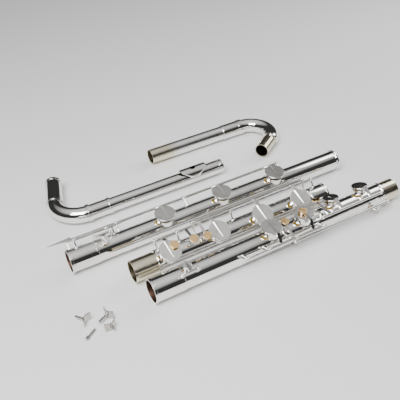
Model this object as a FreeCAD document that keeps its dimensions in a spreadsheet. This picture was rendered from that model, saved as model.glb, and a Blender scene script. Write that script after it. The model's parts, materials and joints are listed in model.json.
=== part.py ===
"""Contrabass flute, taken apart into its five sections, as a parametric FreeCAD document.

Units are millimetres and degrees.  World axes: X runs along the sections, +Z is up, and the
origin is on the floor under the centre of the whole set.  Every section lies on its rings.
"""
import FreeCAD, Part
import itertools
import os
import Sketcher
from FreeCAD import Placement, Rotation, Vector

doc = FreeCAD.newDocument("ContrabassFlute")

# ---------------------------------------------------------------------------------------------
# Driving dimensions
# ---------------------------------------------------------------------------------------------
SIZES = {
    # Place of the whole set over the origin; set at the end from its own box.
    "shift_x": 0, "shift_y": 0,
    # Left end and axis of each section on the floor, before the shift.
    "upper_x": 253.5, "upper_y": 732, "middle_x": 244, "middle_y": 801, "foot_x": 145, "foot_y": 898.5,
    "head_x": 238.5, "head_y": 1038.5, "crook_x": 735.5, "crook_y": 1177,
    # Body tubes.
    "tube_od": 47.3, "tube_wall": 1.0, "ring_rise": 2.15, "ring_width": 5.4, "sleeve_wall": 1.1,
    "tenon_step": 0.4, "fit_gap": 0.05, "bend_gap": 0.35, "corner": 0.7, "bead_rise": 0.5,
    "upper_length": 613, "upper_socket": 60.2, "upper_tenon": 38.7,
    "middle_length": 480.5, "middle_socket": 39.8, "middle_tenon": 51.6,
    "foot_length": 689, "foot_socket": 55.9,
    "receiver_depth": 15, "receiver_length": 43,
    # Tone holes, pads and cups.
    "chimney_height": 5.9, "chimney_wall": 1.0, "rim_width": 0.6, "seat_margin": 4.5,
    "small_margin": 3.2, "pad_gap": 0.3, "pad_thick": 4.1, "pad_show": 1.5,
    "cup_wall": 0.9, "cup_top": 1.3, "cup_round": 0.9, "cup_slack": 0.05,
    "upper_cup": 44.1, "trill_cup": 35.5, "vent_cup": 19.3, "side_cup": 15,
    "middle_cup": 46.8, "foot_cup": 46.2, "foot_vent_cup": 18.3,
    # Key hinges: distance out from the cup's axis, height over the tube's axis, and tilt.
    "hinge_out": 37.6, "hinge_up": 18.3, "outer_out": 40.9, "outer_up": 31.2, "open_angle": 6,
    "vent_out": 16.1, "vent_up": 31.2, "side_out": 22.6, "side_up": 33.3,
    "upper_tilt": 2, "trill_tilt": -21, "vent_tilt": 8, "side_tilt": 112,
    "middle_tilt": 33, "foot_tilt": 14, "foot_vent_tilt": 22, "roller_out": 29, "roller_up": 25.8,
    # Rods, hinge tubes and posts.
    "rod_d": 3.2, "rod_gap": 0.05, "hinge_od": 6, "post_d": 3.9, "post_ball": 8.6,
    "post_foot": 9.7, "post_foot_rise": 1.3, "end_play": 0.3, "spring_d": 0.9, "spring_length": 27.9,
    "spring_drop": 4.9,
    # Arms and touchpieces.
    "arm_width": 6.9, "blade_width": 7.5, "blade_tip": 0.9, "blade_rise": 2.6, "arm_thick": 3.7,
    "touch_d": 18.3, "touch_thick": 2.1, "seat_d": 12.9, "seat_thick": 2.6, "touch_round": 0.7,
    # Stations along each section, from its left end.
    "vent_at": 77.9, "upper_a_at": 276.5, "upper_b_at": 358.5, "upper_c_at": 441.5,
    "upper_d_at": 522.5, "side_at": 537.5, "middle_a_at": 79.5, "middle_b_at": 193.5,
    "middle_c_at": 300, "middle_d_at": 399, "foot_vent_at": 80.6, "foot_a_at": 220.5,
    "foot_b_at": 363.5, "foot_c_at": 506.5,
    # Head joint.
    "head_od": 34.4, "head_wall": 1.0, "elbow_od": 37.6, "elbow_bend": 59.1, "elbow_angle": 105.4,
    "head_ring_od": 43, "leg_length": 88.1, "leg_ring": 6.4, "head_sleeve": 53.8, "head_insert": 40.9,
    "head_length": 329, "tube_stop": 12.9, "collar_lap": 4, "collar_od": 41.7,
    "mouth_at": 273, "mouth_long": 15, "mouth_wide": 12.9, "riser_wall": 1.7,
    "plate_inner": 17.1, "plate_up": 6, "plate_thick": 1.3, "plate_long": 71, "plate_wide": 36.5,
    "crown_length": 15, "crown_od": 37.6, "crown_plug": 8.6, "cork_length": 19.3, "cork_gap": 32.2,
    "stopper_plate": 1.5, "screw_d": 5.4,
    # Crook.
    "crook_leg": 275, "crook_bend": 55.9, "crook_angle": 145, "crook_tenon_od": 35.5,
    "crook_tenon": 62.3, "crook_sleeve": 60.2, "crook_ring_od": 42.1,
    # Hand rests and peg.
    "saddle_inner": 14, "saddle_wall": 1.6, "saddle_width": 18.3, "saddle_angle": 104,
    "stem_d": 4.3, "stem_root_d": 6.9, "stem_length": 21.5, "peg_ball_d": 7, "peg_length": 22.6,
    "rest_x": 130, "rest_y": 735.5,
}

sheet = doc.addObject("Spreadsheet::Sheet", "Sizes")
for row, (alias, value) in enumerate(SIZES.items(), start=1):
    sheet.set(f"A{row}", alias)
    sheet.set(f"B{row}", str(value))
    sheet.setAlias(f"B{row}", alias)
doc.recompute()

RING_OUT = "(tube_od / 2 + ring_rise)"
X_AXIS = Vector(1, 0, 0)
Z_AXIS = Vector(0, 0, 1)
ALONG_X = Rotation(Vector(0, 1, 0), 90)
nodes = []


def s(formula):
    """Turn the bare size names of a formula into references to the sheet."""
    words = []
    word = ""
    for letter in str(formula) + " ":
        if letter.isalnum() or letter in "_.":
            word += letter
        else:
            words.append(f"Sizes.{word}" if word in SIZES else word)
            words.append(letter)
            word = ""
    return "".join(words).strip()


def bind(thing, **formulas):
    for name, formula in formulas.items():
        thing.setExpression(name, s(formula))
    return thing


def move(thing, x="0", y="0", z="0", turn=None, axis=None):
    """Bind a thing's place, and its angle about one fixed axis when it turns."""
    if axis is not None:
        thing.Placement = Placement(Vector(), Rotation(axis, 1))
        thing.setExpression("Placement.Rotation.Angle", s(turn))
    for letter, formula in zip("xyz", (x, y, z)):
        thing.setExpression(f"Placement.Base.{letter}", s(formula))
    return thing


counter = itertools.count(1)


def fresh(stem):
    return f"{stem}_{next(counter)}"


# ---------------------------------------------------------------------------------------------
# Shapes that many pieces share
# ---------------------------------------------------------------------------------------------
def rod(radius, start, end, y="0", z="0"):
    """A solid bar along X from start to end."""
    bar = doc.addObject("Part::Cylinder", fresh("bar"))
    bar.Placement = Placement(Vector(), ALONG_X)
    bind(bar, Radius=radius, Height=f"({end}) - ({start})")
    return move(bar, start, y, z)


def disc(radius, low, high, x="0", y="0"):
    """A solid disc on a vertical axis."""
    puck = doc.addObject("Part::Cylinder", fresh("disc"))
    bind(puck, Radius=radius, Height=f"({high}) - ({low})")
    return move(puck, x, y, low)


def ball(radius, x, y, z):
    sphere = doc.addObject("Part::Sphere", fresh("ball"))
    bind(sphere, Radius=radius)
    return move(sphere, x, y, z)


def fuse(things):
    if len(things) == 1:
        return things[0]
    joined = doc.addObject("Part::MultiFuse", fresh("joined"))
    joined.Shapes = things
    return joined


def cut(base, tools):
    left = doc.addObject("Part::Cut", fresh("cut"))
    left.Base = base
    left.Tool = fuse(tools)
    return left


def common(first, second):
    shared = doc.addObject("Part::Common", fresh("common"))
    shared.Base = first
    shared.Tool = second
    return shared


def group(things):
    together = doc.addObject("Part::Compound", fresh("group"))
    together.Links = things
    return together


def turned(outline, about="X", rounded=(), radius="corner"):
    """A PartDesign body turned from an outline of (along, out) points about X or Z.

    rounded lists the outline points whose turned edge is filleted.
    """
    name = fresh("turned")
    body = doc.addObject("PartDesign::Body", name)
    origin = {feature.Role: feature for feature in body.Origin.OriginFeatures}
    sketch = body.newObject("Sketcher::SketchObject", name + "_outline")
    sketch.AttachmentSupport = [(origin["XZ_Plane"], "")]
    sketch.MapMode = "FlatFace"
    count = len(outline)
    rough = [Vector(*(sheet_value(v) for v in point), 0) for point in outline]
    if about == "Z":
        rough = [Vector(point.y, point.x, 0) for point in rough]
    for i in range(count):
        sketch.addGeometry(Part.LineSegment(rough[i], rough[(i + 1) % count]), False)
    for i in range(count):
        sketch.addConstraint(Sketcher.Constraint("Coincident", i, 2, (i + 1) % count, 1))
    for i, (along, out) in enumerate(outline):
        across, up = (along, out) if about == "X" else (out, along)
        for kind, formula, value in (("DistanceX", across, rough[i].x), ("DistanceY", up, rough[i].y)):
            index = sketch.addConstraint(Sketcher.Constraint(kind, -1, 1, i, 1, value))
            sketch.setExpression(f"Constraints[{index}]", f"({s(formula)}) * 1 mm")
    turn = body.newObject("PartDesign::Revolution", name + "_turn")
    turn.Profile = sketch
    turn.ReferenceAxis = (origin[about + "_Axis"], [""])
    turn.Angle = 360
    body.Tip = turn
    if rounded:
        doc.recompute()
        edges = [turned_edge(turn.Shape, *(sheet_value(v) for v in outline[i]), about) for i in rounded]
        fillet = body.newObject("PartDesign::Fillet", name + "_fillet")
        fillet.Base = (turn, edges)
        bind(fillet, Radius=radius)
        body.Tip = fillet
    return body


def sheet_value(formula):
    return float(sheet.evalExpression(s(formula)))


def turned_edge(shape, along, out, about):
    """The name of the circle that the outline point (along, out) turned."""
    for number, edge in enumerate(shape.Edges, start=1):
        centre = getattr(edge.Curve, "Center", None)
        if centre is None:
            continue
        place = centre.x if about == "X" else centre.z
        if abs(place - along) < 1e-4 and abs(edge.Curve.Radius - out) < 1e-4:
            return f"Edge{number}"
    raise ValueError("no such turned edge")


def band(start, width, inner, outer):
    """A ring about X with rounded outer edges."""
    end = f"({start}) + ({width})"
    return turned([(start, inner), (start, outer), (end, outer), (end, inner)], rounded=(1, 2))


def pipe(outer, wall, start, end):
    return turned([(start, f"{outer} / 2 - {wall}"), (start, f"{outer} / 2"),
                   (end, f"{outer} / 2"), (end, f"{outer} / 2 - {wall}")])


def elbow(outer, wall, bend, angle, first_angle, centre_y):
    """A bent pipe in the floor plane, from first_angle counterclockwise."""
    rings = []
    for radius in (f"{outer} / 2", f"{outer} / 2 - {wall}"):
        ring = doc.addObject("Part::Torus", fresh("bend"))
        bind(ring, Radius1=bend, Radius2=radius, Angle3=angle)
        rings.append(ring)
    bent = cut(rings[0], [rings[1]])
    move(bent, "0", centre_y, "0", f"({first_angle}) * 1 deg", Z_AXIS)
    return group([bent])


def node(thing, label, x, y, z, turn="0", axis=X_AXIS):
    """Name a finished piece and put it in its place on the floor."""
    thing.Label = label
    move(thing, f"shift_x + {x}", f"shift_y + {y}", z, f"({turn}) * 1 deg", axis)
    nodes.append(thing)
    return thing


# ---------------------------------------------------------------------------------------------
# Hinge lines: each is parallel to a section's axis and carries one rod
# ---------------------------------------------------------------------------------------------
class Line:
    """A hinge line of a section, given by its tilt and its place out from and over the axis."""

    def __init__(self, section, out, up, tilt, far):
        self.section = section
        self.sign = 1 if far else -1
        self.out = f"({self.sign}) * {out}"
        self.up = up
        self.tilt = tilt
        self.y = f"(({self.out}) * cos({tilt} * 1 deg) - {up} * sin({tilt} * 1 deg))"
        self.z = f"(({self.out}) * sin({tilt} * 1 deg) + {up} * cos({tilt} * 1 deg))"
        self.lean = f"{tilt} * 1 deg - atan(({self.out}) / {up})"

    def node(self, thing, label, rest="0"):
        """A moving piece, drawn about its hinge line with its key closed."""
        turn = f"{self.tilt} - ({self.sign}) * ({rest})"
        return node(thing, label, f"{self.section}_x", f"{self.section}_y + {self.y}",
                    f"{RING_OUT} + {self.z}", turn)


PAD_BOTTOM = "(tube_od / 2 + chimney_height + pad_gap)"
CUP_BOTTOM = f"({PAD_BOTTOM} + pad_show)"
CUP_INSIDE = f"({PAD_BOTTOM} + pad_thick)"
CUP_TOP = f"({CUP_INSIDE} + cup_top)"

upper_line = Line("upper", "hinge_out", "hinge_up", "upper_tilt", far=False)
trill_line = Line("upper", "hinge_out", "hinge_up", "trill_tilt", far=False)
vent_line = Line("upper", "vent_out", "vent_up", "vent_tilt", far=False)
side_line = Line("upper", "side_out", "side_up", "side_tilt", far=True)
middle_line = Line("middle", "hinge_out", "hinge_up", "middle_tilt", far=True)
outer_line = Line("middle", "outer_out", "outer_up", "middle_tilt", far=True)
foot_line = Line("foot", "hinge_out", "hinge_up", "foot_tilt", far=True)
roller_line = Line("foot", "roller_out", "roller_up", "foot_tilt", far=True)
foot_vent_line = Line("foot", "vent_out", "vent_up", "foot_vent_tilt", far=True)


# ---------------------------------------------------------------------------------------------
# Keys
# ---------------------------------------------------------------------------------------------
def blade(line, x, start, end):
    """A tapering arm square to the hinge: start and end are (reach, low, high, width)."""
    wedge = doc.addObject("Part::Wedge", fresh("blade"))
    first, second = (end, start) if line.sign > 0 else (start, end)
    places = [f"({-line.sign}) * ({step[0]})" for step in (first, second)]
    bind(wedge,
         Ymin=places[0], Xmin=f"-({first[3]}) / 2", Xmax=f"({first[3]}) / 2", Zmin=first[1], Zmax=first[2],
         Ymax=places[1], X2min=f"-({second[3]}) / 2", X2max=f"({second[3]}) / 2",
         Z2min=second[1], Z2max=second[2])
    return move(wedge, x)


def cup(line, x, size):
    """A thin cup over its tone hole, open below, with a rounded top edge."""
    outer = f"{size} / 2"
    inner = f"{size} / 2 - cup_wall"
    low, inside, top = (f"{height} - {line.up}" for height in (CUP_BOTTOM, CUP_INSIDE, CUP_TOP))
    shell = turned([(low, inner), (low, outer), (top, outer), (top, "0"), (inside, "0"), (inside, inner)],
                   about="Z", rounded=(2,), radius="cup_round")
    return move(shell, x, f"-({line.out})")


def pointed_arm(line, x, size):
    """The arm of a cup: a riser from the hinge tube, then a pointed blade over the cup."""
    edge = f"{line.sign} * ({line.out}) - {size} / 2"
    tip = f"{line.sign} * ({line.out}) + {size} * 0.32"
    top = f"{CUP_TOP} - {line.up}"
    riser = blade(line, x, ("0", "-arm_thick / 2", "arm_thick / 2", "arm_width"),
                  (f"{edge} + cup_wall / 2", f"{top} - cup_wall", f"{top} + blade_rise", "blade_width"))
    over = blade(line, x, (edge, f"{top} - cup_wall", f"{top} + blade_rise", "blade_width"),
                 (tip, f"{top} - 0.3", f"{top} + 0.4", "blade_tip"))
    return [riser, over]


def touch_arm(line, x, reach, height, on_cup):
    """What holds a touchpiece: a seat on the cup, or an arm from the hinge tube with a round seat."""
    rise = f"({height}) - touch_thick - seat_thick"
    if on_cup:
        return [disc("seat_d / 2", f"{CUP_TOP} - {line.up} - cup_top / 2", f"{rise} + seat_thick", x,
                     f"({-line.sign}) * ({reach})")]
    arm = blade(line, x, ("0", "-arm_thick / 2", "arm_thick / 2", "arm_width"),
                (f"{reach} + seat_d * 0.2", f"{rise} - 0.4", f"{rise} + 1.6", "arm_width * 0.7"))
    seat = disc("seat_d / 2", rise, f"{rise} + seat_thick", x, f"({-line.sign}) * ({reach})")
    return [arm, seat]


def touch(line, label, x, reach, height, rest):
    """A round finger touch on its seat."""
    low = f"({height}) - touch_thick"
    disc_body = turned([(low, "0"), (low, "touch_d / 2"), (height, "touch_d / 2"), (height, "0")],
                       about="Z", rounded=(1, 2), radius="touch_round")
    move(disc_body, x, f"({-line.sign}) * ({reach})")
    return line.node(group([disc_body]), label, rest)


def key(line, label, posts_beside, pieces, rest):
    """A key: what hangs on one hinge tube between two posts, bored for the rod."""
    left, right = posts_beside
    start = f"{left} + post_ball / 2 + end_play"
    end = f"{right} - post_ball / 2 - end_play"
    tube = rod("hinge_od / 2", start, end)
    bore = rod("rod_d / 2 + rod_gap", f"{start} - 1", f"{end} + 1")
    return line.node(cut(fuse([tube] + pieces), [bore]), label, rest)


def pads(line, label, cups, rest):
    made = [disc(f"{size} / 2 - cup_wall - cup_slack", f"{PAD_BOTTOM} - {line.up}",
                 f"{CUP_INSIDE} - {line.up}", x, f"-({line.out})") for x, size in cups]
    return line.node(group(made), label, rest)


def cup_key(line, name, posts_beside, cups, touches=(), rest="open_angle"):
    """A key with its cups, their pads, and its touches, each (x, reach, rise over the cups, on a cup)."""
    touches = [(x, reach, f"{CUP_TOP} - {line.up} + {rise}", on_cup) for x, reach, rise, on_cup in touches]
    pieces = []
    for x, size in cups:
        pieces.append(cup(line, x, size))
        pieces += pointed_arm(line, x, size)
    for x, reach, height, on_cup in touches:
        pieces += touch_arm(line, x, reach, height, on_cup)
    key(line, name + "_key", posts_beside, pieces, rest)
    pads(line, name + "_pads" if len(cups) > 1 else name + "_pad", cups, rest)
    for x, reach, height, _ in touches:
        touch(line, name + "_touch", x, reach, height, rest)


# ---------------------------------------------------------------------------------------------
# Posts, rods and springs
# ---------------------------------------------------------------------------------------------
def posts(section, places, sleeves):
    """Ball posts soldered to a section's tube and sleeves, drilled for the rods."""
    solids = []
    bores = [rod("tube_od / 2", "-1", f"{section}_length + 1")]
    bores += [rod(radius, start, end) for radius, start, end in sleeves]
    for line, stations in places:
        for x in stations:
            for radius, reach in (("post_d / 2", f"sqrt(({line.out}) ^ 2 + {line.up} ^ 2)"),
                                  ("post_foot / 2", "tube_od / 2 + post_foot_rise")):
                stem = doc.addObject("Part::Cylinder", fresh("stem"))
                bind(stem, Radius=radius, Height=reach)
                solids.append(move(stem, x, "0", "0", line.lean, X_AXIS))
            solids.append(ball("post_ball / 2", x, line.y, line.z))
            bores.append(rod("rod_d / 2 + rod_gap", f"({x}) - post_ball", f"({x}) + post_ball",
                             line.y, line.z))
    return node(cut(fuse(solids), bores), f"{section}_posts", f"{section}_x", f"{section}_y", RING_OUT)


def steelwork(section, ends, springs):
    """The steel rods of a section and the needle springs under its hinge tubes."""
    made = [rod("rod_d / 2", f"{stations[0]} - post_ball / 2", f"{stations[-1]} + post_ball / 2",
                line.y, line.z)
            for line, stations in ends.items()]
    for line, x, way in springs:
        start = f"({x}) + ({way}) * post_d / 2"
        first, last = (start, f"{start} + spring_length") if way > 0 else (f"{start} - spring_length", start)
        drop = f"spring_drop / sqrt(({line.out}) ^ 2 + {line.up} ^ 2)"
        made.append(rod("spring_d / 2", first, last, f"{line.y} * (1 - {drop})", f"{line.z} * (1 - {drop})"))
    return node(group(made), f"{section}_steelwork", f"{section}_x", f"{section}_y", RING_OUT)


# ---------------------------------------------------------------------------------------------
# Section tubes, sockets and tenons
# ---------------------------------------------------------------------------------------------
def hole_tube(section, start, end, holes):
    """A section's tube with drawn tone holes: holes are (station, cup size, margin, tilt)."""
    solids = [rod("tube_od / 2", start, end)]
    bores = [rod("tube_od / 2 - tube_wall", f"{start} - 1", f"{end} + 1")]
    for x, size, margin, tilt in holes:
        radius = f"{size} / 2 - {margin}"
        top = "tube_od / 2 + chimney_height"
        for low, high, wide, store in (("0", top, radius, solids),
                                       (f"{top} - 1.2", top, f"{radius} + rim_width", solids),
                                       ("0", f"{top} + 1", f"{radius} - chimney_wall", bores)):
            turned_disc = doc.addObject("Part::Cylinder", fresh("chimney"))
            bind(turned_disc, Radius=wide, Height=f"({high}) - ({low})")
            move(turned_disc, x, f"-({low}) * sin({tilt} * 1 deg)", f"({low}) * cos({tilt} * 1 deg)",
                 f"{tilt} * 1 deg", X_AXIS)
            store.append(turned_disc)
    return node(cut(fuse(solids), bores), f"{section}_tube", f"{section}_x", f"{section}_y", RING_OUT)


def socket(mouth, depth, way):
    """A socket sleeve with a ring at its mouth and a bead at its root, opening along way."""
    bore = "tube_od / 2 - tenon_step + fit_gap"
    over_tube = "tube_od / 2 + fit_gap"
    outer = f"{over_tube} + sleeve_wall"
    seat = f"({mouth}) + ({way}) * {depth}"
    lip = f"({mouth}) + ({way}) * ring_width"
    root = f"({mouth}) + ({way}) * ({depth} + ring_width)"
    bead = f"({mouth}) + ({way}) * ({depth} + ring_width * 0.4)"
    return turned([(mouth, bore), (mouth, RING_OUT), (lip, RING_OUT), (lip, outer), (bead, outer),
                   (bead, f"{outer} + bead_rise"), (root, f"{outer} + bead_rise"), (root, over_tube),
                   (seat, over_tube), (seat, bore)], rounded=(1, 2, 6))


def socket_space(mouth, depth, way):
    """The bars that a socket fills, as (radius, start, end), for pieces that stand on it to clear."""
    outer = "tube_od / 2 + fit_gap + sleeve_wall"
    parts = [(RING_OUT, "0", "ring_width"), (outer, "0", f"{depth} + ring_width"),
             (f"{outer} + bead_rise", f"{depth} + ring_width * 0.4", f"{depth} + ring_width")]
    return [(radius, *((f"{mouth} + {near}", f"{mouth} + {far}") if way > 0
                       else (f"{mouth} - ({far})", f"{mouth} - ({near})"))) for radius, near, far in parts]


def fittings(section, made):
    return node(group(made), f"{section}_fittings", f"{section}_x", f"{section}_y", RING_OUT)


def tenon(section, start, end):
    made = pipe("(tube_od - 2 * tenon_step)", "tube_wall", start, end)
    return node(group([made]), f"{section}_tenon", f"{section}_x",
                f"{section}_y", RING_OUT)


def upper_section():
    """The upper body: crook socket at the left, four cups, a vent and a side lever."""
    shoulder = "(upper_length - upper_tenon)"
    big = [("upper_a_at", "upper_cup"), ("upper_b_at", "upper_cup")]
    trills = [("upper_c_at", "trill_cup"), ("upper_d_at", "trill_cup")]
    hole_tube("upper", "upper_socket", shoulder,
              [(x, size, "seat_margin", "upper_tilt") for x, size in big]
              + [(x, size, "seat_margin", "trill_tilt") for x, size in trills]
              + [("vent_at", "vent_cup", "small_margin", "vent_tilt"),
                 ("side_at", "side_cup", "small_margin", "side_tilt")])
    bore = "tube_od / 2 - tube_wall - fit_gap"
    outside = "tube_od / 2 - tenon_step"
    receiver = turned([("receiver_depth", "crook_tenon_od / 2 + fit_gap"), ("receiver_depth", outside),
                       ("upper_socket", outside), ("upper_socket", bore),
                       ("receiver_depth + receiver_length + ring_width", bore),
                       ("receiver_depth + receiver_length + ring_width", "crook_tenon_od / 2 + fit_gap")])
    ring = band(f"{shoulder} - ring_width", "ring_width", "tube_od / 2 + fit_gap", RING_OUT)
    fittings("upper", [socket("0", "upper_socket", 1), receiver, ring])
    tenon("upper", shoulder, "upper_length")
    ends = {
        vent_line: ("vent_at - 16.5", "vent_at + 16.5"),
        upper_line: ("upper_a_at - 80", "upper_a_at - 30.5", "upper_a_at + 39.5", "upper_b_at + 26.5"),
        trill_line: ("upper_c_at - 52.5", "upper_d_at + 26.5"),
        side_line: ("side_at - 226.5", "side_at + 26"),
    }
    cup_key(vent_line, "vent", ends[vent_line], [("vent_at", "vent_cup")], rest="0")
    cup_key(upper_line, "upper_a", ends[upper_line][1:3], [("upper_a_at", "upper_cup")],
            [("upper_a_at + 31", "hinge_out - 2", "4.05", False)])
    cup_key(upper_line, "upper_b", ends[upper_line][2:], [("upper_b_at", "upper_cup")],
            [("upper_b_at - 2", "hinge_out + 3", "6.05", True)])
    cup_key(trill_line, "trill", ends[trill_line], trills,
            [("upper_c_at - 34", "hinge_out + 6", "5.05", False)])
    cup_key(side_line, "side", ends[side_line], [("side_at", "side_cup")], rest="0")
    posts("upper", list(ends.items()), socket_space("0", "upper_socket", 1)
          + [(RING_OUT, f"{shoulder} - ring_width", shoulder)])
    steelwork("upper", ends, [(upper_line, "upper_a_at - 30.5", 1), (upper_line, "upper_b_at + 26.5", -1),
                              (trill_line, "upper_d_at + 26.5", -1), (side_line, "side_at - 226.5", 1)])


def middle_section():
    """The middle body: tenon at the left, socket at the right, four cups and three touches."""
    mouth = "middle_length"
    root = "(middle_length - middle_socket)"
    cups = [(x, "middle_cup") for x in ("middle_a_at", "middle_b_at", "middle_c_at", "middle_d_at")]
    hole_tube("middle", "middle_tenon", root, [(x, size, "seat_margin", "middle_tilt") for x, size in cups])
    fittings("middle", [socket(mouth, "middle_socket", -1),
                        band("middle_tenon", "ring_width", "tube_od / 2 + fit_gap", RING_OUT)])
    tenon("middle", "0", "middle_tenon")
    ends = {
        middle_line: ("middle_a_at - 15.5", "middle_a_at + 34.5", "middle_b_at + 50", "middle_d_at + 60"),
        outer_line: ("middle_b_at - 44.5", "middle_d_at + 30.5"),
    }
    cup_key(middle_line, "middle_a", ends[middle_line][:2], cups[:1],
            [("middle_a_at + 12", "hinge_out - 7", "5.05", True)])
    cup_key(middle_line, "middle_b", ends[middle_line][1:3], cups[1:2],
            [("middle_b_at - 60", "hinge_out - 3", "7.05", False)])
    cup_key(outer_line, "middle_cd", ends[outer_line], cups[2:],
            [("middle_b_at - 32", "outer_out + 1", "7.95", False)])
    posts("middle", list(ends.items()), socket_space(mouth, "middle_socket", -1))
    steelwork("middle", ends, [(middle_line, "middle_a_at - 15.5", 1), (middle_line, "middle_b_at + 50", -1),
                               (outer_line, "middle_d_at + 30.5", -1)])


def spatula(line, x, reach, length, way):
    """A flat pointed finger lever that runs out along the hinge line past the posts."""
    stem = blade(line, x, ("0", "-arm_thick / 2", "arm_thick / 2", "arm_width"),
                 (reach, "8", "10.4", "arm_width"))
    plate = doc.addObject("Part::Wedge", fresh("spatula"))
    bind(plate, Xmin="-4.5", Xmax="4.5", Zmin="0", Zmax="2.2", Ymin="0", Ymax=length,
         X2min="-0.8", X2max="0.8",
         Z2min="0.4", Z2max="1.8")
    plate.Placement = Placement(Vector(), Rotation(Z_AXIS, 90 * -way))
    move(plate, f"({x}) - ({way})", f"({-line.sign}) * ({reach})", "8.2")
    return [stem, plate]


def foot_section():
    """The foot: socket at the left, open end at the right, three cups, a vent and two levers."""
    hole_tube("foot", "foot_socket", "foot_length",
              [(x, "foot_cup", "seat_margin", "foot_tilt") for x in ("foot_a_at", "foot_b_at", "foot_c_at")]
              + [("foot_vent_at", "foot_vent_cup", "small_margin", "foot_vent_tilt")])
    fittings("foot", [socket("0", "foot_socket", 1),
                      band("foot_length - ring_width", "ring_width", "tube_od / 2 + fit_gap", RING_OUT)])
    ends = {
        foot_line: ("10", "120.5", "foot_a_at + 66", "foot_c_at + 34.5"),
        roller_line: ("24", "108"),
        foot_vent_line: ("foot_vent_at - 16.5", "foot_vent_at + 16.5"),
    }
    cup_key(foot_line, "foot_a", ends[foot_line][1:3], [("foot_a_at", "foot_cup")])
    cup_key(foot_line, "foot_bc", ends[foot_line][2:],
            [("foot_b_at", "foot_cup"), ("foot_c_at", "foot_cup")])
    cup_key(foot_vent_line, "foot_vent", ends[foot_vent_line], [("foot_vent_at", "foot_vent_cup")], rest="0")
    key(foot_line, "foot_lever_a", ends[foot_line][:2],
        spatula(foot_line, "18", "5", "50", -1), "open_angle")
    key(roller_line, "foot_lever_b", ends[roller_line],
        spatula(roller_line, "96", "8", "40", 1), "open_angle")
    posts("foot", list(ends.items()), socket_space("0", "foot_socket", 1))
    steelwork("foot", ends, [(foot_line, "foot_a_at + 66", -1), (foot_line, "foot_c_at + 34.5", -1)])


# ---------------------------------------------------------------------------------------------
# Head joint
# ---------------------------------------------------------------------------------------------
def head_node(thing, label):
    return node(thing, label, "head_x", "head_y", "head_ring_od / 2")


def oval_block(length, width, low, high):
    """An upright oval block centred on the mouth hole."""
    outline = doc.addObject("Part::Ellipse", fresh("oval"))
    bind(outline, MajorRadius=f"({length}) / 2", MinorRadius=f"({width}) / 2")
    move(outline, "mouth_at", "0", low)
    block = doc.addObject("Part::Extrusion", fresh("oval_block"))
    block.Base = outline
    block.DirMode = "Custom"
    block.Dir = Z_AXIS
    block.Solid = True
    return bind(block, LengthFwd=f"{high} - ({low})")


def mouth_hole(low, high):
    return oval_block("mouth_long", "mouth_wide", low, high)


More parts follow.
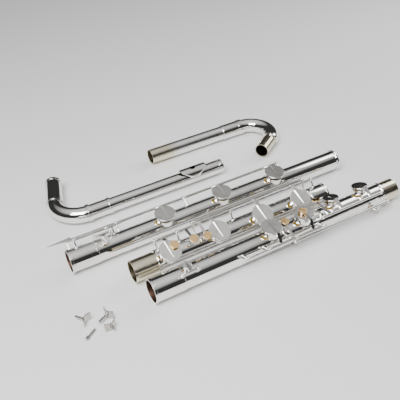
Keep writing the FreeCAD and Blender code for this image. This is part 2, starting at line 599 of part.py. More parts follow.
def head_joint():
    """The bent head joint, its sliding head tube, lip plate and stopper."""
    join = "elbow_od / 2 + fit_gap"
    over_bend = "elbow_od / 2 + bend_gap"
    leg = turned([("-collar_lap", over_bend), ("-collar_lap", "collar_od / 2"), ("3", "collar_od / 2"),
                  ("3", "elbow_od / 2 + fit_gap + sleeve_wall"),
                  ("leg_length - leg_ring", "elbow_od / 2 + fit_gap + sleeve_wall"),
                  ("leg_length - leg_ring", "head_ring_od / 2"), ("leg_length", "head_ring_od / 2"),
                  ("leg_length", join), ("0", join), ("0", over_bend)], rounded=(1, 2, 5, 6))
    move(leg, "-elbow_bend * sin(elbow_angle * 1 deg)", "elbow_bend * (1 - cos(elbow_angle * 1 deg))", "0",
         "180 deg - elbow_angle * 1 deg", Z_AXIS)
    sleeve = turned([("-collar_lap", over_bend), ("-collar_lap", "collar_od / 2"),
                     ("collar_lap", "collar_od / 2"),
                     ("collar_lap", "head_od / 2 + fit_gap + sleeve_wall"),
                     ("head_sleeve - leg_ring", "head_od / 2 + fit_gap + sleeve_wall"),
                     ("head_sleeve - leg_ring", "collar_od / 2 - 1"), ("head_sleeve", "collar_od / 2 - 1"),
                     ("head_sleeve", "head_od / 2 + fit_gap"), ("0", "head_od / 2 + fit_gap"),
                     ("0", over_bend)],
                    rounded=(1, 2, 5, 6))
    head_node(elbow("elbow_od", "head_wall", "elbow_bend", "elbow_angle", "270 - elbow_angle", "elbow_bend"),
              "head_elbow")
    head_node(group([leg, sleeve]), "head_sleeves")

    end = "(tube_stop + head_length)"
    head_node(cut(pipe("head_od", "head_wall", "tube_stop", end), [mouth_hole("0", "head_od")]), "head_tube")

    wide = "plate_inner + plate_thick"
    outer = rod(wide, "mouth_at - plate_long", "mouth_at + plate_long", "0", "plate_up")
    inner = rod("plate_inner", "mouth_at - plate_long - 1", "mouth_at + plate_long + 1", "0", "plate_up")
    shape = oval_block("plate_long", "plate_wide", "plate_up", "head_od * 2")
    shell = cut(common(outer, shape), [inner, mouth_hole("0", "head_od * 2")])
    head_node(shell, "lip_plate")

    under = rod("plate_inner", "mouth_at - plate_long", "mouth_at + plate_long", "0", "plate_up")
    around = oval_block("mouth_long + 2 * riser_wall", "mouth_wide + 2 * riser_wall", "0", "head_od * 2")
    wall = common(around, under)
    tube = rod("head_od / 2", "mouth_at - plate_long", "mouth_at + plate_long")
    head_node(cut(wall, [mouth_hole("-1", "head_od * 3"), tube]), "mouth_riser")

    bore = "head_od / 2 - head_wall"
    face = "(mouth_at + cork_gap)"
    back = f"({face} + cork_length)"
    tip = f"({end} + crown_length * 0.5)"
    head_node(group([turned([(face, "screw_d / 2 + fit_gap"), (face, f"{bore} - fit_gap"),
                             (back, f"{bore} - fit_gap"), (back, "screw_d / 2 + fit_gap")])]), "head_cork")
    head_node(group([turned([(f"{face} - stopper_plate", "0"), (f"{face} - stopper_plate", f"{bore} - 0.6"),
                             (face, f"{bore} - 0.6"), (face, "screw_d / 2"), (back, "screw_d / 2"),
                             (back, f"{bore} - 2"), (f"{back} + stopper_plate", f"{bore} - 2"),
                             (f"{back} + stopper_plate", "screw_d / 2"), (tip, "screw_d / 2"),
                             (tip, "0")])]),
              "stopper_screw")
    head_node(group([turned([(f"{end} - crown_plug", "screw_d / 2 + fit_gap"),
                             (f"{end} - crown_plug", f"{bore} - fit_gap"),
                             (f"{end} + pad_gap", f"{bore} - fit_gap"), (f"{end} + pad_gap", "crown_od / 2"),
                             (f"{end} + 3", "crown_od / 2"), (f"{end} + 5", "crown_od / 2 - 1.6"),
                             (f"{end} + crown_length - 3", "crown_od / 2 - 1.6"),
                             (f"{end} + crown_length", "crown_od / 2 - 6"), (f"{end} + crown_length", "0"),
                             (f"{tip} + 3", "0"), (f"{tip} + 3", "screw_d / 2 + fit_gap")],
                            rounded=(3, 4, 6, 7))]), "crown")


# ---------------------------------------------------------------------------------------------
# Crook
# ---------------------------------------------------------------------------------------------
def crook_node(thing, label):
    return node(thing, label, "crook_x", "crook_y", "crook_ring_od / 2")


def crook():
    """The bent crook between the head joint and the upper body."""
    outer = "elbow_od / 2"
    bore = f"{outer} - head_wall"
    joint = f"{outer} - tenon_step"
    join = f"{joint} + fit_gap"
    over_bend = f"{outer} + bend_gap"
    sleeve_outer = f"{outer} + fit_gap + sleeve_wall"
    end_x = "crook_bend * sin(crook_angle * 1 deg)"
    end_y = "-crook_bend * (1 - cos(crook_angle * 1 deg))"
    heading = "-crook_angle * 1 deg"
    crook_node(group([turned([("-crook_leg", bore), ("-crook_leg", outer), ("-crook_sleeve", outer),
                              ("-crook_sleeve", joint), ("0", joint), ("0", bore)])]), "crook_leg")
    crook_node(elbow("elbow_od", "head_wall", "crook_bend", "crook_angle", "90 - crook_angle",
                     "-crook_bend"), "crook_bend")
    sleeve = turned([("-crook_sleeve", join), ("-crook_sleeve", "crook_ring_od / 2"),
                     ("-crook_sleeve + ring_width", "crook_ring_od / 2"),
                     ("-crook_sleeve + ring_width", sleeve_outer),
                     ("-ring_width * 2", sleeve_outer), ("-ring_width * 2", "crook_ring_od / 2"),
                     ("collar_lap", "crook_ring_od / 2"), ("collar_lap", over_bend), ("0", over_bend),
                     ("0", join)], rounded=(1, 2, 5, 6))
    short_outer = "crook_tenon_od / 2"
    short_joint = f"{short_outer} - tenon_step"
    collar = turned([("-collar_lap", over_bend), ("-collar_lap", "crook_ring_od / 2"),
                     ("ring_width", "crook_ring_od / 2"), ("ring_width", f"{short_joint} + fit_gap"),
                     ("0", f"{short_joint} + fit_gap"), ("0", over_bend)], rounded=(1, 2))
    move(collar, end_x, end_y, "0", heading, Z_AXIS)
    crook_node(group([sleeve, collar]), "crook_fittings")
    short_bore = f"{short_outer} - head_wall"
    short = turned([("0", short_bore), ("0", short_joint), ("ring_width", short_joint),
                    ("ring_width", short_outer), ("crook_tenon", short_outer), ("crook_tenon", short_bore)])
    move(short, end_x, end_y, "0", heading, Z_AXIS)
    crook_node(group([short]), "crook_tenon")


# ---------------------------------------------------------------------------------------------
# Hand rests and peg, lying beside the sections
# ---------------------------------------------------------------------------------------------
def saddle(stem_length):
    """A curved rest standing on its edge, with a round stem out of the middle of its back."""
    outer = "saddle_inner + saddle_wall"
    solids = []
    for radius in (outer, "saddle_inner"):
        arc = doc.addObject("Part::Cylinder", fresh("arc"))
        bind(arc, Radius=radius, Height="saddle_width", Angle="saddle_angle")
        solids.append(move(arc, "0", "0", "0", "-saddle_angle / 2 * 1 deg", Z_AXIS))
    plate = cut(solids[0], [solids[1]])
    middle = "saddle_width / 2"
    root = rod("stem_root_d / 2", "saddle_inner + saddle_wall / 2", f"{outer} + 3", "0", middle)
    stem = rod("stem_d / 2", f"{outer} + 1", f"{outer} + {stem_length}", "0", middle)
    return cut(fuse([plate, root, stem]), [disc("saddle_inner", "-1", "saddle_width + 1")])


def rests():
    node(saddle("stem_length"), "hand_rest_a", "rest_x + 2", "rest_y + 2", "0", "128", Z_AXIS)
    node(saddle("stem_length"), "hand_rest_b", "rest_x + 46", "rest_y + 10", "0", "206", Z_AXIS)
    node(saddle("stem_length * 0.4"), "thumb_rest", "rest_x + 26", "rest_y - 14", "0", "-78", Z_AXIS)
    knob = "peg_ball_d / 2"
    peg = turned([(f"-{knob}", "0"), (f"-{knob}", knob), (knob, knob), (knob, "stem_d / 2"),
                  ("peg_length", "stem_d / 2"), ("peg_length", "0")], rounded=(1, 2))
    node(group([peg]), "lyre_peg", "rest_x - 18", "rest_y - 26", knob, "32", Z_AXIS)


upper_section()
middle_section()
foot_section()
head_joint()
crook()
rests()
doc.recompute()

# Put the origin on the floor under the centre of the whole set.
whole = Part.makeCompound([piece.Shape for piece in nodes]).BoundBox
sheet.set(sheet.getCellFromAlias("shift_x"), str(round(-whole.Center.x, 1)))
sheet.set(sheet.getCellFromAlias("shift_y"), str(round(-whole.Center.y, 1)))
doc.recompute()

# Check every object, then write each piece.
for thing in doc.Objects:
    if {"Invalid", "Error"} & set(thing.State):
        raise RuntimeError(f"{thing.Name} ({thing.Label}) did not compute: {thing.State}")
os.makedirs("parts", exist_ok=True)
for piece in nodes:
    shape = piece.Shape
    if shape.isNull() or not shape.isValid() or shape.Volume <= 0:
        raise RuntimeError(f"{piece.Label} has no valid solid")
    shape.exportStep(f"parts/{piece.Label}.step")
print(f"{len(nodes)} pieces written")
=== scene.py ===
"""Contrabass flute in five sections: finishes, key pads, studio and camera."""
import json
import math

import bmesh
import bpy
import numpy as np
from mathutils import Matrix, Vector

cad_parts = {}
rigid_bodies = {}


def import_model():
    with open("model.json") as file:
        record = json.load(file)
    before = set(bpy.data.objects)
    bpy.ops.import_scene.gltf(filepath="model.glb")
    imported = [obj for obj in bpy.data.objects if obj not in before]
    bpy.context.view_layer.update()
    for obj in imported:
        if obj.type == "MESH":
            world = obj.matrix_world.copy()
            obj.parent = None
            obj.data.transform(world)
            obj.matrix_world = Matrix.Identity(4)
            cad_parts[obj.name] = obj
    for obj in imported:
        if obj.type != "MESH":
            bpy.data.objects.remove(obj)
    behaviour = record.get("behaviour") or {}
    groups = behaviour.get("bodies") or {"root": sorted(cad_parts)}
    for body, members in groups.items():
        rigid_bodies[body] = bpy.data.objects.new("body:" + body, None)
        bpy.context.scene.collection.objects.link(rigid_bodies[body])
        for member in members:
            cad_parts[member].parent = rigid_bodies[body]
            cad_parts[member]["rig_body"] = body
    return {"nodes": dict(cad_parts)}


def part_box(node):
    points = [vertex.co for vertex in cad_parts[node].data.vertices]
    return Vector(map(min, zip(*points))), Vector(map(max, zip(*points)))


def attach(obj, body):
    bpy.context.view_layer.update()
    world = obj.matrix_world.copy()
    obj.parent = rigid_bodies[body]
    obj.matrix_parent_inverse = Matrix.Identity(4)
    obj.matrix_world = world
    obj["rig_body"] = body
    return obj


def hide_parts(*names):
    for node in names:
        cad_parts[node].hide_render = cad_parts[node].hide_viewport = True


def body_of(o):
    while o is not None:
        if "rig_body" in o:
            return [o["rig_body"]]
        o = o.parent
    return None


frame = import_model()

bl_info = {
    "name": "Contrabass Flute",
    "version": (1, 0, 0),
    "blender": (4, 5, 0),
    "location": "View3D > Sidebar > Flute",
    "description": "Finishes, key pads and studio for a contrabass flute taken apart",
    "category": "Object",
}

NODES = frame["nodes"]
SECTIONS = ("upper", "middle", "foot")
SECTION_OF_KEY = {"vent": "upper", "side": "upper", "upper": "upper", "trill": "upper",
                  "middle": "middle", "foot": "foot"}

# Radii, in metres, that divide the bright outside of a tube from its dull inside, which is darkened with
# painted shade and a painted dark reflection.
BORE_EDGE = {"tube": 0.0231, "fittings": 0.0235, "head_tube": 0.0165}
# Where the crook's bare leg fades into its plating, in metres from its end.
LEG_BARE_TO, LEG_PLATED_FROM = 0.045, 0.085
FLOOR_HALF_SIDE, FLOOR_DROP = 8, 0.0004
# The room's light rises from its horizon to its zenith value between these heights of the sky.
ROOM_DARK_BELOW, ROOM_BRIGHT_ABOVE = 0.60, 1.0

CAMERA_PLACE = (-0.487, -0.9463, 0.8105)
CAMERA_RIGHT = (0.8715, -0.4875, -0.0539)
CAMERA_DOWN = (-0.3304, -0.5026, -0.7989)
CAMERA_FORWARD = (0.3623, 0.7141, -0.5991)


def colour(name, description, default):
    return bpy.props.FloatVectorProperty(name=name, description=description, default=default,
                                         subtype="COLOR", size=3, min=0, max=1)


class FluteColours(bpy.types.PropertyGroup):
    """Colours of the flute's finishes."""
    silver: colour("Silver plate", "Mirror-polished silver plate", (0.93, 0.92, 0.90))
    silver_aged: colour("Aged silver", "Silver plate where it has begun to tone", (0.80, 0.77, 0.71))
    key: colour("Key silver", "Silver plate of the cups, arms and levers", (0.83, 0.82, 0.79))
    key_aged: colour("Worn key silver", "Key silver where it has begun to tone", (0.66, 0.63, 0.57))
    rest: colour("Rest nickel", "Nickel plate of the loose rests and peg", (0.52, 0.50, 0.47))
    rest_aged: colour("Worn rest nickel", "Rest plate where hands have dulled it", (0.36, 0.34, 0.31))
    tenon: colour("Bare tenon", "Unplated nickel silver of the tenons", (0.78, 0.71, 0.55))
    tenon_aged: colour("Aged tenon", "Darker patches of the tenons", (0.71, 0.64, 0.48))
    touch: colour("Gold touch", "Gold plate of the finger touches", (0.93, 0.62, 0.29))
    touch_aged: colour("Worn touch", "Gold plate where fingers rest", (0.80, 0.50, 0.24))
    pad: colour("Pad skin", "Yellow skin of the key pads", (0.72, 0.48, 0.07))
    pad_aged: colour("Pad shade", "Darker yellow of the pads' folds", (0.42, 0.25, 0.03))
    steel: colour("Steel", "Hinge rods, springs and the stopper screw", (0.60, 0.60, 0.62))
    cork: colour("Cork", "Stopper cork", (0.45, 0.28, 0.14))
    cork_dark: colour("Cork pores", "Dark pores of the cork", (0.20, 0.11, 0.05))
    # Dark brown painted shade and painted dark reflection for the inside of the tubes, laid over their dull
    # metal.
    painted_bore_shade: colour("Bore", "Dulled metal inside the tubes", (0.15, 0.085, 0.06))


class FlutePads(bpy.types.PropertyGroup):
    """Shape of the key pads."""
    edge: bpy.props.FloatProperty(name="Edge", description="Radius of the pad's soft outer edge",
                                  default=0.0013, min=0.0002, max=0.002, unit="LENGTH")
    dish: bpy.props.FloatProperty(name="Dish", description="Depth of the hollow in the pad's middle",
                                  default=0.0004, min=0, max=0.001, unit="LENGTH")
    steps: bpy.props.IntProperty(name="Steps", description="Segments round each pad",
                                 default=96, min=24, max=192)


class FluteStudio(bpy.types.PropertyGroup):
    """Floor and light."""
    floor: colour("Floor", "Plain pale floor", (0.90, 0.90, 0.90))
    lens: bpy.props.FloatProperty(name="Lens", description="Focal length on a 36 mm sensor",
                                  default=50.98, min=10, max=200, unit="CAMERA")
    key: bpy.props.FloatProperty(name="Key light", description="Power of the large soft light",
                                 default=72.0, min=0, unit="POWER")
    fill: bpy.props.FloatProperty(name="Fill light", description="Power of the side light",
                                  default=16.0, min=0, unit="POWER")
    zenith: bpy.props.FloatProperty(name="Overhead", description="Brightness of the room overhead",
                                    default=1.0, min=0, max=5)
    horizon: bpy.props.FloatProperty(name="Horizon", description="Brightness of the room's walls",
                                     default=0.04, min=0, max=5)


# ---------------------------------------------------------------------------------------------
# Shader node groups
# ---------------------------------------------------------------------------------------------
def effect(name, inputs, outputs):
    """An empty shader group with named sockets, and its input and output nodes."""
    tree = bpy.data.node_groups.new(name, "ShaderNodeTree")
    for label, kind, value in inputs:
        socket = tree.interface.new_socket(label, in_out="INPUT", socket_type=f"NodeSocket{kind}")
        if value is not None:
            socket.default_value = value
    for label, kind in outputs:
        tree.interface.new_socket(label, in_out="OUTPUT", socket_type=f"NodeSocket{kind}")
    return tree, tree.nodes.new("NodeGroupInput"), tree.nodes.new("NodeGroupOutput")


def noise(tree, vector, scale, detail):
    node = tree.nodes.new("ShaderNodeTexNoise")
    node.inputs["Detail"].default_value = detail
    tree.links.new(vector, node.inputs["Vector"])
    if isinstance(scale, bpy.types.NodeSocket):
        tree.links.new(scale, node.inputs["Scale"])
    else:
        node.inputs["Scale"].default_value = scale
    return node.outputs["Fac"]


def remap(tree, value, low, high, from_low=0.35, from_high=0.65):
    node = tree.nodes.new("ShaderNodeMapRange")
    node.inputs["From Min"].default_value = from_low
    node.inputs["From Max"].default_value = from_high
    tree.links.new(value, node.inputs["Value"])
    for name, end in (("To Min", low), ("To Max", high)):
        if isinstance(end, bpy.types.NodeSocket):
            tree.links.new(end, node.inputs[name])
        else:
            node.inputs[name].default_value = end
    return node.outputs["Result"]


def blend_colours(tree, factor, first, second):
    node = tree.nodes.new("ShaderNodeMix")
    node.data_type = "RGBA"
    tree.links.new(factor, node.inputs["Factor"])
    for socket, value in ((node.inputs[6], first), (node.inputs[7], second)):
        if isinstance(value, bpy.types.NodeSocket):
            tree.links.new(value, socket)
        else:
            socket.default_value = (*value, 1)
    return node.outputs[2]


def math_node(tree, operation, first, second):
    node = tree.nodes.new("ShaderNodeMath")
    node.operation = operation
    for socket, value in zip(node.inputs, (first, second)):
        if isinstance(value, bpy.types.NodeSocket):
            tree.links.new(value, socket)
        else:
            socket.default_value = value
    return node.outputs[0]


def wear_effect():
    """Two tones in broad clouds, a slowly changing polish and hairline marks."""
    tree, given, made = effect(
        "Metal wear",
        [("Vector", "Vector", None), ("Clean", "Color", (1, 1, 1, 1)), ("Aged", "Color", (1, 1, 1, 1)),
         ("Low", "Float", 0.05), ("High", "Float", 0.15), ("Scale", "Float", 30.0)],
        [("Color", "Color"), ("Roughness", "Float"), ("Height", "Float")])
    cloud = noise(tree, given.outputs["Vector"], given.outputs["Scale"], 3)
    tree.links.new(blend_colours(tree, remap(tree, cloud, 0.0, 1.0, 0.50, 0.80), given.outputs["Clean"],
                                 given.outputs["Aged"]), made.inputs["Color"])
    smear = noise(tree, given.outputs["Vector"], 140, 4)
    tree.links.new(remap(tree, smear, given.outputs["Low"], given.outputs["High"]), made.inputs["Roughness"])
    stretch = tree.nodes.new("ShaderNodeMapping")
    stretch.inputs["Scale"].default_value = (0.08, 1, 1)
    tree.links.new(given.outputs["Vector"], stretch.inputs["Vector"])
    tree.links.new(noise(tree, stretch.outputs["Vector"], 1800, 2), made.inputs["Height"])
    return tree


def bore_effect():
    """1 inside a tube that runs along X, 0 outside; it places the painted shade inside the tubes."""
    tree, given, made = effect(
        "Inside a tube",
        [("Vector", "Vector", None), ("Axis Y", "Float", 0.0), ("Axis Z", "Float", 0.0),
         ("Radius", "Float", 0.02)], [("Mask", "Float")])
    parts = tree.nodes.new("ShaderNodeSeparateXYZ")
    tree.links.new(given.outputs["Vector"], parts.inputs[0])
    squares = []
    for letter in "YZ":
        off = math_node(tree, "SUBTRACT", parts.outputs[letter], given.outputs[f"Axis {letter}"])
        squares.append(math_node(tree, "MULTIPLY", off, off))
    distance = math_node(tree, "SQRT", math_node(tree, "ADD", *squares), 0)
    tree.links.new(math_node(tree, "LESS_THAN", distance, given.outputs["Radius"]), made.inputs["Mask"])
    return tree


def skin_effect():
    """Fine creases of stretched skin, with the folds between them shaded."""
    tree, given, made = effect(
        "Pad skin",
        [("Vector", "Vector", None), ("Clean", "Color", (1, 1, 1, 1)), ("Aged", "Color", (1, 1, 1, 1))],
        [("Color", "Color"), ("Roughness", "Float"), ("Height", "Float")])
    crease = tree.nodes.new("ShaderNodeTexVoronoi")
    crease.feature = "DISTANCE_TO_EDGE"
    crease.inputs["Scale"].default_value = 900
    tree.links.new(given.outputs["Vector"], crease.inputs["Vector"])
    cloud = noise(tree, given.outputs["Vector"], 220, 4)
    tree.links.new(blend_colours(tree, remap(tree, cloud, 0.0, 1.0), given.outputs["Clean"],
                                 given.outputs["Aged"]), made.inputs["Color"])
    tree.links.new(remap(tree, cloud, 0.38, 0.6), made.inputs["Roughness"])
    tree.links.new(math_node(tree, "ADD", crease.outputs["Distance"], cloud), made.inputs["Height"])
    return tree


def shared(name, build):
    """The node group of that name, built the first time it is asked for."""
    return bpy.data.node_groups.get(name) or build()


def wear():
    return shared("Metal wear", wear_effect)


def place_effect(tree, group, **values):
    node = tree.nodes.new("ShaderNodeGroup")
    node.node_tree = group
    for name, value in values.items():
        value = (*value, 1) if isinstance(value, tuple) else value
        node.inputs[name.replace("_", " ")].default_value = value
    return node


def surface(name, group, bump, metallic=1.0, sheen=0.0, **values):
    """A material whose colour, roughness and fine relief come from one effect."""
    material = bpy.data.materials.new(name)
    material.use_nodes = True
    tree = material.node_tree
    shader = tree.nodes["Principled BSDF"]
    shader.inputs["Metallic"].default_value = metallic
    shader.inputs["Sheen Weight"].default_value = sheen
    where = tree.nodes.new("ShaderNodeTexCoord")
    made = place_effect(tree, group, **values)
    relief = tree.nodes.new("ShaderNodeBump")
    relief.inputs["Strength"].default_value = bump
    relief.inputs["Distance"].default_value = 0.0001
    tree.links.new(where.outputs["Object"], made.inputs["Vector"])
    tree.links.new(made.outputs["Color"], shader.inputs["Base Color"])
    tree.links.new(made.outputs["Roughness"], shader.inputs["Roughness"])
    tree.links.new(made.outputs["Height"], relief.inputs["Height"])
    tree.links.new(relief.outputs["Normal"], shader.inputs["Normal"])
    return material


def dull_and_shade_inside(material, axis, radius, painted_bore_shade):
    """Turns the part of a material inside a tube into dull metal whose colour is painted shade and a painted
    dark reflection.
    """
    tree = material.node_tree
    shader = tree.nodes["Principled BSDF"]
    where = next(node for node in tree.nodes if node.type == "TEX_COORD")
    mask = place_effect(tree, shared("Inside a tube", bore_effect), Axis_Y=axis[0], Axis_Z=axis[1],
                        Radius=radius)
    tree.links.new(where.outputs["Object"], mask.inputs["Vector"])
    outside = shader.inputs["Base Color"].links[0].from_socket
    polish = shader.inputs["Roughness"].links[0].from_socket
    # The inside of the tube takes the painted shade colour; the roughness below is the dull metal's own.
    tree.links.new(blend_colours(tree, mask.outputs["Mask"], outside, painted_bore_shade), shader.inputs["Base Color"])
    rough = tree.nodes.new("ShaderNodeMix")
    rough.inputs[3].default_value = 0.45
    tree.links.new(mask.outputs["Mask"], rough.inputs["Factor"])
    tree.links.new(polish, rough.inputs[2])
    tree.links.new(rough.outputs[0], shader.inputs["Roughness"])
    return material


def fade_along_x(material, start, end, far_colour):
    """Blends a material's colour into far_colour between two stations on X."""
    tree = material.node_tree
    shader = tree.nodes["Principled BSDF"]
    where = next(node for node in tree.nodes if node.type == "TEX_COORD")
    parts = tree.nodes.new("ShaderNodeSeparateXYZ")
    tree.links.new(where.outputs["Object"], parts.inputs[0])
    factor = remap(tree, parts.outputs["X"], 0.0, 1.0, start, end)
    near = shader.inputs["Base Color"].links[0].from_socket
    tree.links.new(blend_colours(tree, factor, near, far_colour), shader.inputs["Base Color"])


def dress(names, material):
    for name in names:
        data = NODES[name].data
        data.materials.clear()
        data.materials.append(material)


def tube_axis(node):
    low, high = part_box(node)
    return (low.y + high.y) / 2, (low.z + high.z) / 2


# ---------------------------------------------------------------------------------------------
# Operators
# ---------------------------------------------------------------------------------------------
class FLUTE_OT_silver(bpy.types.Operator):
    """Silver-plate the tubes, sockets, bends, posts and lip plate, with painted shade inside the tubes"""
    bl_idname = "flute.silver"
    bl_label = "Silver Plate"

    def execute(self, context):
        tones = context.scene.flute_colours
        look = dict(bump=0.02, Clean=tuple(tones.silver), Aged=tuple(tones.silver_aged),
                    Low=0.045, High=0.11, Scale=14.0)
        # Each tube and socket is painted with shade and a dark reflection inside.
        for section in SECTIONS:
            axis = tube_axis(f"{section}_fittings")
            for part in ("tube", "fittings"):
                plate = surface(f"Silver plate {section} {part}", wear(), **look)
                dress([f"{section}_{part}"], dull_and_shade_inside(plate, axis, BORE_EDGE[part], tuple(tones.painted_bore_shade)))
        head = surface("Silver plate head tube", wear(), **look)
        # The head tube's inside is painted with shade and a dark reflection too.
        dress(["head_tube"], dull_and_shade_inside(head, tube_axis("head_tube"), BORE_EDGE["head_tube"],
                                         tuple(tones.painted_bore_shade)))
        dress(["head_elbow", "head_sleeves", "lip_plate", "mouth_riser", "crown", "crook_bend",
               "crook_fittings"] + [f"{section}_posts" for section in SECTIONS],
              surface("Silver plate", wear(), **look))
        return {"FINISHED"}


class FLUTE_OT_keys(bpy.types.Operator):
    """Polish the cups, arms, hinge tubes and levers"""
    bl_idname = "flute.keys"
    bl_label = "Keywork"

    def execute(self, context):
        tones = context.scene.flute_colours
        polish = surface("Key silver", wear(), bump=0.015, Clean=tuple(tones.key),
                         Aged=tuple(tones.key_aged), Low=0.06, High=0.16, Scale=45.0)
        dress([name for name in NODES if name.endswith("_key") or "_lever_" in name], polish)
        return {"FINISHED"}


class FLUTE_OT_tenons(bpy.types.Operator):
    """Brush the bare tenons and fade the crook's leg into its plating"""
    bl_idname = "flute.tenons"
    bl_label = "Tenons"

    def execute(self, context):
        tones = context.scene.flute_colours
        look = dict(bump=0.05, Clean=tuple(tones.tenon), Aged=tuple(tones.tenon_aged),
                    Low=0.16, High=0.24, Scale=16.0)
        dress(["upper_tenon", "middle_tenon", "crook_tenon"], surface("Bare tenon", wear(), **look))
        leg = surface("Crook leg", wear(), **look)
        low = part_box("crook_leg")[0]
        fade_along_x(leg, low.x + LEG_BARE_TO, low.x + LEG_PLATED_FROM, tuple(tones.silver))
        dress(["crook_leg"], leg)
        return {"FINISHED"}


class FLUTE_OT_touches(bpy.types.Operator):
    """Gild the round finger touches"""
    bl_idname = "flute.touches"
    bl_label = "Finger Touches"

    def execute(self, context):
        tones = context.scene.flute_colours
        gold = surface("Gold touch", wear(), bump=0.03, Clean=tuple(tones.touch),
                       Aged=tuple(tones.touch_aged), Low=0.14, High=0.30, Scale=160.0)
        dress([name for name in NODES if name.endswith("_touch")], gold)
        return {"FINISHED"}


class FLUTE_OT_steel(bpy.types.Operator):
    """Finish the hinge rods, needle springs and stopper screw"""
    bl_idname = "flute.steel"
    bl_label = "Steelwork"

    def execute(self, context):
        steel = tuple(context.scene.flute_colours.steel)
        drawn = surface("Drawn steel", wear(), bump=0.08, Clean=steel, Aged=tuple(0.7 * c for c in steel),
                        Low=0.18, High=0.32, Scale=220.0)
        dress([f"{section}_steelwork" for section in SECTIONS] + ["stopper_screw"], drawn)
        return {"FINISHED"}


class FLUTE_OT_rests(bpy.types.Operator):
    """Plate the hand rests, thumb rest and peg"""
    bl_idname = "flute.rests"
    bl_label = "Hand Rests"

    def execute(self, context):
        tones = context.scene.flute_colours
        plate = surface("Rest plate", wear(), bump=0.03, Clean=tuple(tones.rest),
                        Aged=tuple(tones.rest_aged), Low=0.12, High=0.26, Scale=120.0)
        dress(["hand_rest_a", "hand_rest_b", "thumb_rest", "lyre_peg"], plate)
        return {"FINISHED"}


class FLUTE_OT_cork(bpy.types.Operator):
    """Finish the stopper cork inside the head tube"""
    bl_idname = "flute.cork"
    bl_label = "Stopper Cork"

    def execute(self, context):
        tones = context.scene.flute_colours
        cork = surface("Cork", shared("Pad skin", skin_effect), bump=0.6, metallic=0.0,
                       Clean=tuple(tones.cork), Aged=tuple(tones.cork_dark))
        dress(["head_cork"], cork)
        return {"FINISHED"}


def pad_frame(points, axis):
    """Centre, radius, thickness and outward lean of one round pad, from its points."""
    x = points[:, 0]
    best = None
    for lean in range(-90, 90):
        angle = math.radians(lean)
        height = points[:, 2] * math.cos(angle) - points[:, 1] * math.sin(angle)
        if best is None or np.ptp(height) < best[0]:
            best = (np.ptp(height), angle)
    thick, angle = best
    side = points[:, 1] * math.cos(angle) + points[:, 2] * math.sin(angle)
    height = points[:, 2] * math.cos(angle) - points[:, 1] * math.sin(angle)
    along, up = (side.min() + side.max()) / 2, (height.min() + height.max()) / 2
    centre = Vector(((x.min() + x.max()) / 2, along * math.cos(angle) - up * math.sin(angle),
                     along * math.sin(angle) + up * math.cos(angle)))
    outward = Vector((0, -math.sin(angle), math.cos(angle)))
    if outward.dot(Vector((0, centre.y - axis[0], centre.z - axis[1]))) < 0:
        angle += math.pi
    return centre, float(np.ptp(x)) / 2, float(thick), angle


def pad_mesh(name, centre, radius, thick, angle, shape):
    """A skin-covered felt disc with a soft edge, hollowed a little on its sealing face."""
    half, edge = thick / 2, min(shape.edge, thick / 3)
    bm = bmesh.new()
    profile = [(0, shape.dish - half), (radius * 0.30, shape.dish - half), (radius * 0.45, -half)]
    profile += [(radius - edge + edge * math.sin(turn), edge - half - edge * math.cos(turn))
                for turn in (math.radians(15 * step) for step in range(7))]
    profile += [(radius, half - edge / 2), (radius - edge / 2, half), (0, half)]
    corners = [bm.verts.new((out, 0, up)) for out, up in profile]
    edges = [bm.edges.new(pair) for pair in zip(corners, corners[1:])]
    bmesh.ops.spin(bm, geom=corners + edges, cent=(0, 0, 0), axis=(0, 0, 1), angle=math.tau,
                   steps=shape.steps, use_merge=True)
    bmesh.ops.remove_doubles(bm, verts=bm.verts, dist=1e-6)
    bmesh.ops.recalc_face_normals(bm, faces=bm.faces)
    for face in bm.faces:
        face.smooth = True
    bmesh.ops.transform(bm, verts=bm.verts,
                        matrix=Matrix.Translation(centre) @ Matrix.Rotation(angle, 4, "X"))
    mesh = bpy.data.meshes.new(name)
    bm.to_mesh(mesh)
    bm.free()
    return mesh


class FLUTE_OT_pads(bpy.types.Operator):
    """Build a skin-covered felt pad under every cup"""
    bl_idname = "flute.pads"
    bl_label = "Key Pads"

    def execute(self, context):
        tones = context.scene.flute_colours
        skin = surface("Pad skin", shared("Pad skin", skin_effect), bump=0.35, metallic=0.0, sheen=0.2,
                       Clean=tuple(tones.pad), Aged=tuple(tones.pad_aged))
        for name in sorted(NODES):
            if not name.endswith(("_pad", "_pads")):
                continue
            node = NODES[name]
            axis = tube_axis(f"{SECTION_OF_KEY[name.split('_')[0]]}_fittings")
            points = np.array([vertex.co for vertex in node.data.vertices])
            middle = (points[:, 0].min() + points[:, 0].max()) / 2
            groups = ([points[points[:, 0] < middle], points[points[:, 0] > middle]]
                      if name.endswith("_pads") else [points])
            for number, group in enumerate(groups, start=1):
                mesh = pad_mesh(f"{name}_{number}", *pad_frame(group, axis), context.scene.flute_pads)
                mesh.materials.append(skin)
                pad = bpy.data.objects.new(f"{name}_skin_{number}", mesh)
                context.scene.collection.objects.link(pad)
                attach(pad, body_of(node)[0])
                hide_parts(name)
        return {"FINISHED"}


def add_light(context, name, place, target, size, power):
    data = bpy.data.lights.new(name, "AREA")
    data.shape = "RECTANGLE"
    data.size, data.size_y = size
    data.energy = power
    light = bpy.data.objects.new(name, data)
    light.location = place
    light.rotation_euler = (Vector(target) - Vector(place)).to_track_quat("-Z", "Y").to_euler()
    context.scene.collection.objects.link(light)


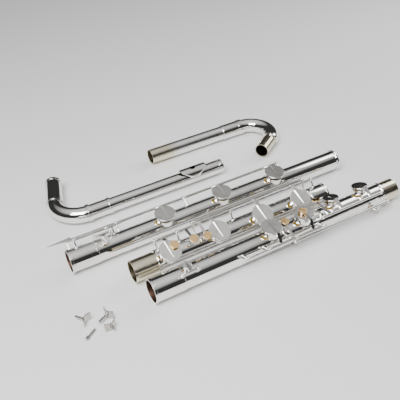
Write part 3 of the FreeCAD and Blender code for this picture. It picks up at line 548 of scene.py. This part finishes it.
class FLUTE_OT_stage(bpy.types.Operator):
    """Lay the pale floor and set the room, lights and camera"""
    bl_idname = "flute.stage"
    bl_label = "Studio"

    def execute(self, context):
        studio = context.scene.flute_studio
        bm = bmesh.new()
        bmesh.ops.create_grid(bm, x_segments=1, y_segments=1, size=FLOOR_HALF_SIDE)
        mesh = bpy.data.meshes.new("Floor")
        bm.to_mesh(mesh)
        bm.free()
        paint = bpy.data.materials.new("Floor paint")
        paint.use_nodes = True
        shader = paint.node_tree.nodes["Principled BSDF"]
        shader.inputs["Base Color"].default_value = (*studio.floor, 1)
        shader.inputs["Roughness"].default_value = 0.9
        mesh.materials.append(paint)
        floor = bpy.data.objects.new("Floor", mesh)
        floor.location.z = -FLOOR_DROP
        context.scene.collection.objects.link(floor)

        add_light(context, "Key light", (-0.9, -0.9, 1.9), (0, 0, 0), (1.5, 1.1), studio.key)
        add_light(context, "Fill light", (1.7, 0.2, 1.2), (0, 0, 0), (0.8, 1.4), studio.fill)

        world = bpy.data.worlds.new("Room")
        context.scene.world = world
        world.use_nodes = True
        tree = world.node_tree
        tree.nodes["Background"].inputs["Color"].default_value = (1, 1, 1, 1)
        where = tree.nodes.new("ShaderNodeTexCoord")
        parts = tree.nodes.new("ShaderNodeSeparateXYZ")
        tree.links.new(where.outputs["Generated"], parts.inputs[0])
        tree.links.new(remap(tree, parts.outputs["Z"], studio.horizon, studio.zenith,
                             ROOM_DARK_BELOW, ROOM_BRIGHT_ABOVE),
                       tree.nodes["Background"].inputs["Strength"])

        lens = bpy.data.cameras.new("Camera")
        lens.lens, lens.sensor_width = studio.lens, 36
        camera = bpy.data.objects.new("Camera", lens)
        right, up, back = Vector(CAMERA_RIGHT), -Vector(CAMERA_DOWN), -Vector(CAMERA_FORWARD)
        turn = Matrix((right, up, back)).transposed().to_4x4()
        camera.matrix_world = Matrix.Translation(CAMERA_PLACE) @ turn
        context.scene.collection.objects.link(camera)
        context.scene.camera = camera
        return {"FINISHED"}


STEPS = (FLUTE_OT_stage, FLUTE_OT_silver, FLUTE_OT_keys, FLUTE_OT_tenons, FLUTE_OT_touches,
         FLUTE_OT_steel, FLUTE_OT_rests, FLUTE_OT_cork, FLUTE_OT_pads)


class FLUTE_PT_panel(bpy.types.Panel):
    """The flute's steps in the 3D view's sidebar"""
    bl_idname = "FLUTE_PT_panel"
    bl_label = "Contrabass Flute"
    bl_space_type = "VIEW_3D"
    bl_region_type = "UI"
    bl_category = "Flute"

    def draw(self, context):
        for step in STEPS:
            self.layout.operator(step.bl_idname)


CLASSES = (FluteColours, FlutePads, FluteStudio, *STEPS, FLUTE_PT_panel)


def register():
    for item in CLASSES:
        bpy.utils.register_class(item)
    bpy.types.Scene.flute_colours = bpy.props.PointerProperty(type=FluteColours)
    bpy.types.Scene.flute_pads = bpy.props.PointerProperty(type=FlutePads)
    bpy.types.Scene.flute_studio = bpy.props.PointerProperty(type=FluteStudio)


def unregister():
    del bpy.types.Scene.flute_studio, bpy.types.Scene.flute_pads, bpy.types.Scene.flute_colours
    for item in reversed(CLASSES):
        bpy.utils.unregister_class(item)


def main():
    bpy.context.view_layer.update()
    register()
    for step in STEPS:
        group, name = step.bl_idname.split(".")
        getattr(getattr(bpy.ops, group), name)()


if __name__ == "__main__":
    main()
